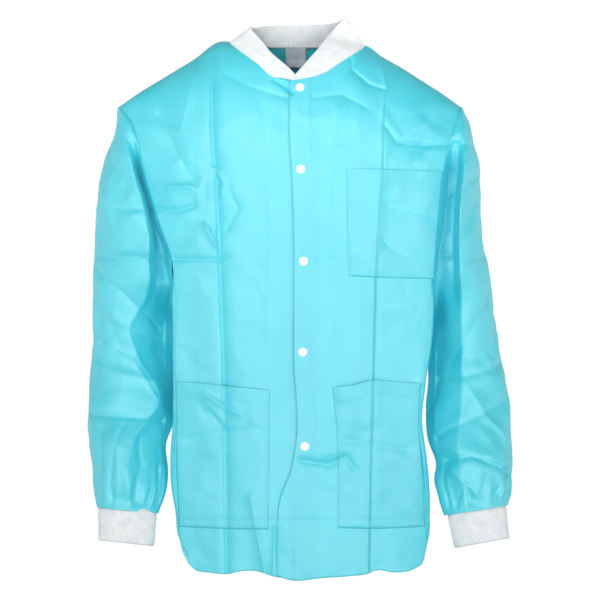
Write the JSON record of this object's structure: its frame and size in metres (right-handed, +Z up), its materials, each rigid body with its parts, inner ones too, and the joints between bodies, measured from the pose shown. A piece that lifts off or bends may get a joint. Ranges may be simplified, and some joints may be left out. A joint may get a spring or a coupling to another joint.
{
  "type": "lab coat",
  "caption": "Hip-length nonwoven lab jacket with a rib-knit collar and cuffs, snaps down the front, a chest pocket and two hip pockets.",
  "frame": {"origin": "the middle of the neck opening, level with the shoulders at the neck, where the coat is hung or worn", "axes": "+Z up, the front faces -Y, +X is towards the wearer's left"},
  "size_m": [0.596, 0.2257, 0.7844],
  "materials": {
    "nonwoven": "matt nonwoven with a fine embossed diamond point-bond pattern and a slight sheen",
    "rib_knit": "matt fine rib knit",
    "snap_plastic": "smooth, slightly glossy moulded plastic",
    "label_tape": "smooth woven tape, blank"
  },
  "bodies": {
    "torso": {"back_panel": "nonwoven", "hem_back": "nonwoven", "front_upper_left": "nonwoven", "front_upper_right": "nonwoven", "collar": "rib_knit", "neck_label": "label_tape"},
    "front_left": {"front_left": "nonwoven", "front_facing_left": "nonwoven", "hem_left": "nonwoven", "chest_pocket": "nonwoven", "chest_pocket_hem": "nonwoven", "hip_pocket_left": "nonwoven", "hip_pocket_hem_left": "nonwoven", "snap_caps": "snap_plastic", "snap_sockets": "snap_plastic"},
    "front_right": {"front_right": "nonwoven", "front_facing_right": "nonwoven", "hem_right": "nonwoven", "hip_pocket_right": "nonwoven", "hip_pocket_hem_right": "nonwoven", "snap_studs": "snap_plastic", "snap_backs": "snap_plastic"},
    "sleeve_upper_left": {"sleeve_upper_left": "nonwoven"},
    "sleeve_upper_right": {"sleeve_upper_right": "nonwoven"},
    "sleeve_lower_left": {"sleeve_lower_left": "nonwoven", "cuff_left": "rib_knit"},
    "sleeve_lower_right": {"sleeve_lower_right": "nonwoven", "cuff_right": "rib_knit"}
  },
  "joints": [
    {"name": "open_left_front", "type": "hinge", "parent": "torso", "child": "front_left", "pos_m": [0.18, -0.064, -0.4], "axis": [0, 0, 1], "range_deg": [0, 55]},
    {"name": "open_right_front", "type": "hinge", "parent": "torso", "child": "front_right", "pos_m": [-0.18, -0.064, -0.4], "axis": [0, 0, -1], "range_deg": [0, 43]},
    {"name": "raise_left_sleeve", "type": "hinge", "parent": "torso", "child": "sleeve_upper_left", "pos_m": [0.239, 0.015, -0.19], "axis": [0, -1, 0], "range_deg": [0, 60]},
    {"name": "raise_right_sleeve", "type": "hinge", "parent": "torso", "child": "sleeve_upper_right", "pos_m": [-0.239, 0.015, -0.19], "axis": [0, 1, 0], "range_deg": [0, 60]},
    {"name": "bend_left_elbow", "type": "hinge", "parent": "sleeve_upper_left", "child": "sleeve_lower_left", "pos_m": [0.239, -0.0395, -0.44], "axis": [-1, 0, 0], "range_deg": [0, 80]},
    {"name": "bend_right_elbow", "type": "hinge", "parent": "sleeve_upper_right", "child": "sleeve_lower_right", "pos_m": [-0.239, -0.0395, -0.44], "axis": [-1, 0, 0], "range_deg": [0, 80]}
  ],
  "couplings": [
    {"joint": "open_right_front", "follows": "open_left_front", "ratio": 0.77}
  ]
}
